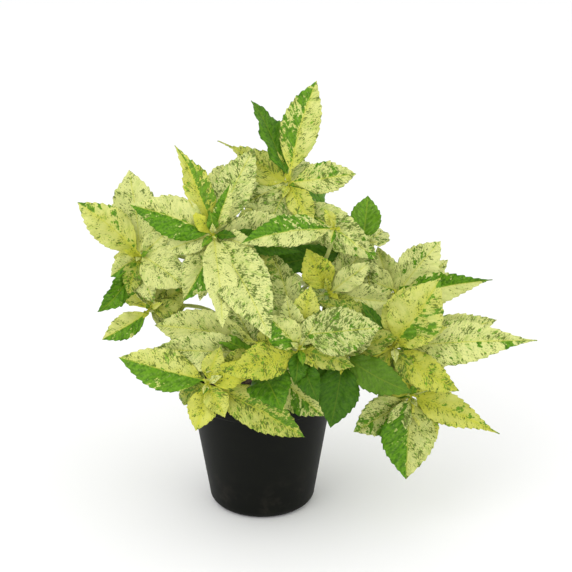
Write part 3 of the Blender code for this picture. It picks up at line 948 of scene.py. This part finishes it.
def stalk_path(lie, hit):
    """From inside the stem to just past the blade's base, leaving the stem at a slant."""
    middle = lie.base - lie.along * (hit - lie.base).length * 0.5
    parts = (0, 0.25, 0.5, 0.75, 1)
    path = [hit.lerp(middle, part).lerp(middle.lerp(lie.base, part), part) for part in parts]
    return [*path, lie.base + lie.along * 2 * MM - lie.upper * 0.3 * MM]


def add_stalk(leaf, lie, stems, settings):
    """The leaf's stalk, from the nearest stem to the blade."""
    hit = stems.find_nearest(lie.base - lie.along * 3 * MM)[0]
    path = stalk_path(lie, hit)
    curve = bpy.data.curves.new("stalk", "CURVE")
    curve.dimensions = "3D"
    curve.bevel_depth = settings.stalk * min(1.0, lie.reach / (0.9 * FULL_REACH))
    curve.bevel_resolution = 2
    curve.use_fill_caps = True
    spline = curve.splines.new("POLY")
    spline.points.add(len(path) - 1)
    for point, place in zip(spline.points, path):
        point.co = (*place, 1)
    stalk = bpy.data.objects.new("stalk", curve)
    bpy.context.scene.collection.objects.link(stalk)
    take(stalk)
    bpy.ops.object.convert(target="MESH")
    stalk = bpy.context.object
    for (mark, kind), value in zip(MARKS, STALK_MARKS):
        write_attribute(stalk.data, mark, kind, [value] * len(stalk.data.vertices))
    dress(stalk, "variegated_leaf", "leaf_underside")
    smooth_all(stalk)
    return merge([leaf, stalk], leaf.name)


# ---- operators


class PELLIONIA_OT_leaves(bpy.types.Operator):
    """Models every large leaf over its plain solid"""

    bl_idname = "pellionia.leaves"
    bl_label = "Large Leaves"

    def execute(self, context):
        scene = context.scene
        stems = stem_surfaces()
        for seed, node in enumerate(LEAF_NODES):
            lie = lie_of(node)
            draw = TAILS.get(node, TIP_DRAW)
            leaf = grow_leaf(f"{node}_blade", lie, PAINT[node], seed + 11, scene.pellionia_leaf, draw=draw)
            hand_in(add_stalk(leaf, lie, stems, scene.pellionia_stem), "leaf", node)
        return {"FINISHED"}


class PELLIONIA_OT_sprigs(bpy.types.Operator):
    """Fills every crown with smaller leaves and with the youngest ones at its heart"""

    bl_idname = "pellionia.sprigs"
    bl_label = "Small Leaves"

    def execute(self, context):
        settings, stem_settings = context.scene.pellionia_leaf, context.scene.pellionia_stem
        stems = stem_surfaces()
        pick = random.Random(5)
        for number, (name, rows) in enumerate(SPRIGS.items()):
            crown = crown_of(name)
            grown = []

            def grow(lie, kind, seed, detail):
                leaf = grow_leaf(f"small_{seed}", lie, KINDS[kind], seed, settings, detail)
                grown.append(add_stalk(leaf, lie, stems, stem_settings))

            for i, (clock, tilt, reach, width, roll, kind) in enumerate(rows):
                lie = lie_at(crown, clock, tilt, reach * MM, width * MM, roll + pick.uniform(-20, 20))
                grow(lie, kind, 100 * number + i, 0.7)
            # The youngest leaf is the smallest and stands steepest.
            first = pick.uniform(0, 360)
            for i in range(settings.young):
                reach = (8 + 3 * i) * MM
                lie = lie_at(crown, first + GOLDEN_ANGLE * i, 66 - 12 * i, reach, reach * 0.36, 0)
                grow(lie, YOUNG[(i + number) % len(YOUNG)], 100 * number + 50 + i, 0.4)
            hand_in(merge(grown, f"small_leaves_{name}"), "leaf")
        return {"FINISHED"}


class PELLIONIA_OT_stems(bpy.types.Operator):
    """Rounds the stems and roots them in the soil"""

    bl_idname = "pellionia.stems"
    bl_label = "Stems"

    def execute(self, context):
        soil_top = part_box("soil")[1].z
        for node in STEM_NODES:
            deselect()
            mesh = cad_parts[node].data.copy()
            stem = bpy.data.objects.new(node + "_round", mesh)
            context.scene.collection.objects.link(stem)
            edit_all(stem, bpy.ops.mesh.remove_doubles, threshold=0.02 * MM)
            for vertex in stem.data.vertices:
                if vertex.co.z < soil_top + STEM_FOOT:
                    vertex.co.z -= STEM_ROOT
            apply_modifier(stem, "REMESH", mode="VOXEL", voxel_size=STEM_VOXEL)
            apply_modifier(stem, "SMOOTH", factor=0.5, iterations=6)
            dress(stem, "fleshy_stem")
            smooth_all(stem)
            hand_in(stem, "stem", node)
        return {"FINISHED"}


def rounded(corners, radius, steps=4):
    """A line of (radius, height) corners with every inner corner rounded off."""
    line = [Vector(corners[0])]
    for before, corner, after in zip(corners, corners[1:], corners[2:]):
        corner = Vector(corner)
        back, on = Vector(before) - corner, Vector(after) - corner
        r = min(radius, back.length * 0.45, on.length * 0.45)
        start, end = corner + back.normalized() * r, corner + on.normalized() * r
        for i in range(steps + 1):
            t = i / steps
            line.append(start * (1 - t) ** 2 + corner * (2 * t * (1 - t)) + end * t**2)
    return [*line, Vector(corners[-1])]


def turned(name, line, steps, material):
    """A line of (radius, height) points turned round Z into a closed skin."""
    mesh = bpy.data.meshes.new(name)
    mesh.from_pydata([(p[0], 0, p[1]) for p in line], [(i, i + 1) for i in range(len(line) - 1)], [])
    obj = bpy.data.objects.new(name, mesh)
    bpy.context.scene.collection.objects.link(obj)
    apply_modifier(
        obj, "SCREW", steps=steps, render_steps=steps, use_merge_vertices=True, merge_threshold=0.01 * MM
    )
    edit_all(obj, bpy.ops.mesh.normals_make_consistent, inside=False)
    dress(obj, material)
    return obj


class PELLIONIA_OT_pot(bpy.types.Operator):
    """Turns the pot with a rounded rim and foot and drills its drain holes"""

    bl_idname = "pellionia.pot"
    bl_label = "Pot"

    def execute(self, context):
        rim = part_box("pot")[1]
        height, mouth = rim.z, rim.x
        collar = height - COLLAR_HEIGHT
        slope = (mouth - COLLAR_STEP - FOOT_RADIUS) / height
        foot_round = []
        for i in range(11):
            turn = math.radians(9 * i)
            side = FOOT_RADIUS + slope * FOOT_CURVE - FOOT_CURVE * (1 - math.sin(turn))
            foot_round.append((side, FOOT_CURVE * (1 - math.cos(turn))))
        wall_line = rounded(
            [
                foot_round[-1],
                (FOOT_RADIUS + slope * (collar - COLLAR_STEP), collar - COLLAR_STEP),
                (FOOT_RADIUS + slope * collar + COLLAR_STEP, collar),
                (mouth, height),
                (mouth - COLLAR_STEP - WALL, height),
                (FOOT_RADIUS - WALL + slope * POT_FLOOR, POT_FLOOR),
                (0, POT_FLOOR),
            ],
            EDGE_RADIUS,
        )
        line = [(0, 0), *foot_round[:-1], *wall_line]
        pot = turned("pot_moulded", line, 128, "pot_plastic")
        for i in range(HOLES):
            turn = math.tau * i / HOLES
            deselect()
            place = (HOLE_RING * math.cos(turn), HOLE_RING * math.sin(turn), 0)
            bpy.ops.mesh.primitive_cylinder_add(
                vertices=32, radius=HOLE_RADIUS, depth=6 * POT_FLOOR, location=place
            )
            drill = context.object
            apply_modifier(pot, "BOOLEAN", operation="DIFFERENCE", object=drill, solver="EXACT")
            bpy.data.objects.remove(drill)
        smooth(pot, 35)
        hand_in(pot, "pot", "pot")
        return {"FINISHED"}


class PELLIONIA_OT_soil(bpy.types.Operator):
    """Roughens the soil and strews it with crumbs and white grit"""

    bl_idname = "pellionia.soil"
    bl_label = "Soil"

    def execute(self, context):
        low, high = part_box("soil")
        edge = high.x * SOIL_FIT
        top = [(edge * (i / SOIL_RINGS), high.z) for i in range(SOIL_RINGS + 1)]
        skirt = [(edge, high.z - 3 * MM), (34 * MM, low.z + 4 * MM), (28 * MM, low.z), (0, low.z)]
        soil = turned("soil_rough", [*top, *skirt], 96, "potting_soil")
        for vertex in soil.data.vertices:
            if vertex.co.z > high.z - 1 * MM:
                lumps = sum(noise.noise(vertex.co * scale) * rise for scale, rise in LUMPS)
                vertex.co.z += (lumps - 0.4) * MM
        smooth(soil, 60)
        hand_in(soil, "soil", "soil")
        hand_in(strewn_crumbs(context.scene.pellionia_pot.crumbs, high.x * STREWN, high.z), "soil")
        return {"FINISHED"}


def strewn_crumbs(number, edge, level):
    """Crumbs of soil and white grit, strewn over a round of soil."""
    pick = random.Random(3)
    deselect()
    bpy.ops.mesh.primitive_ico_sphere_add(subdivisions=1, radius=1)
    model = bpy.context.object
    for vertex in model.data.vertices:
        vertex.co *= 1 + 0.35 * noise.noise(vertex.co * 1.7)
    crumbs = []
    for i in range(number):
        angle, out = pick.uniform(0, math.tau), edge * math.sqrt(pick.random())
        grit = i % GRIT_EVERY == 0
        size = pick.uniform(0.8, 1.6) * MM if grit else pick.uniform(0.5, 2.2) * MM
        crumb = bpy.data.objects.new("crumb", model.data.copy())
        bpy.context.scene.collection.objects.link(crumb)
        spin = Matrix.Rotation(pick.uniform(0, 6.3), 4, Vector((pick.random(), pick.random(), 1)))
        stretch = Matrix.Diagonal((size, size * pick.uniform(0.6, 1), size * pick.uniform(0.5, 0.9), 1))
        height = level + pick.uniform(-0.3, 0.7) * MM
        place = Vector((out * math.cos(angle), out * math.sin(angle), height))
        crumb.data.transform(Matrix.Translation(place) @ spin @ stretch)
        dress(crumb, "white_grit" if grit else "potting_soil")
        crumbs.append(crumb)
    bpy.data.objects.remove(model)
    return merge(crumbs, "soil_crumbs")


class PELLIONIA_OT_stage(bpy.types.Operator):
    """Sets the floor, the soft light and the camera"""

    bl_idname = "pellionia.stage"
    bl_label = "Stage"

    def execute(self, context):
        scene = context.scene
        settings = scene.pellionia_stage
        deselect()
        bpy.ops.mesh.primitive_plane_add(size=FLOOR_SIZE, location=(0, 0, 0))
        floor = named(context.object, "studio_floor")
        dress(floor, "studio_floor")
        world = bpy.data.worlds.new("white_studio")
        world.use_nodes = True
        background = world.node_tree.nodes["Background"]
        background.inputs["Color"].default_value = (1, 1, 1, 1)
        background.inputs["Strength"].default_value = settings.light
        scene.world = world
        for name, place, size, power in LIGHTS:
            bpy.ops.object.light_add(type="AREA", location=place)
            light = context.object
            light.name = name
            light.data.size = size
            light.data.energy = power
            light.rotation_euler = (AIM - Vector(place)).to_track_quat("-Z", "Y").to_euler()
        bpy.ops.object.camera_add()
        camera = context.object
        camera.data.lens = FOCAL_LENGTH
        camera.data.sensor_width = SENSOR_WIDTH
        back = Vector((0, -math.cos(ELEVATION), math.sin(ELEVATION)))
        camera.location = AIM + back * DISTANCE
        camera.rotation_euler = (-back).to_track_quat("-Z", "Y").to_euler()
        scene.camera = camera
        scene.view_settings.view_transform = "Standard"
        return {"FINISHED"}


class PELLIONIA_PT_panel(bpy.types.Panel):
    """Lists the plant's pieces in the order they are made"""

    bl_label = "Potted Pellionia"
    bl_idname = "PELLIONIA_PT_panel"
    bl_space_type = "VIEW_3D"
    bl_region_type = "UI"
    bl_category = "Pellionia"

    def draw(self, context):
        for operator in STEPS:
            self.layout.operator(operator.bl_idname)


STEPS = (
    PELLIONIA_OT_stage,
    PELLIONIA_OT_pot,
    PELLIONIA_OT_soil,
    PELLIONIA_OT_stems,
    PELLIONIA_OT_leaves,
    PELLIONIA_OT_sprigs,
)
GROUPS = {
    "pellionia_leaf": PELLIONIA_PG_leaf,
    "pellionia_stem": PELLIONIA_PG_stem,
    "pellionia_pot": PELLIONIA_PG_pot,
    "pellionia_stage": PELLIONIA_PG_stage,
}
CLASSES = (*GROUPS.values(), *STEPS, PELLIONIA_PT_panel)


def register():
    for cls in CLASSES:
        bpy.utils.register_class(cls)
    for name, group in GROUPS.items():
        setattr(bpy.types.Scene, name, bpy.props.PointerProperty(type=group))


def unregister():
    for name in GROUPS:
        delattr(bpy.types.Scene, name)
    for cls in reversed(CLASSES):
        bpy.utils.unregister_class(cls)


def main():
    register()
    for step in STEPS:
        group, operator = step.bl_idname.split(".")
        getattr(getattr(bpy.ops, group), operator)()


if __name__ == "__main__":
    main()
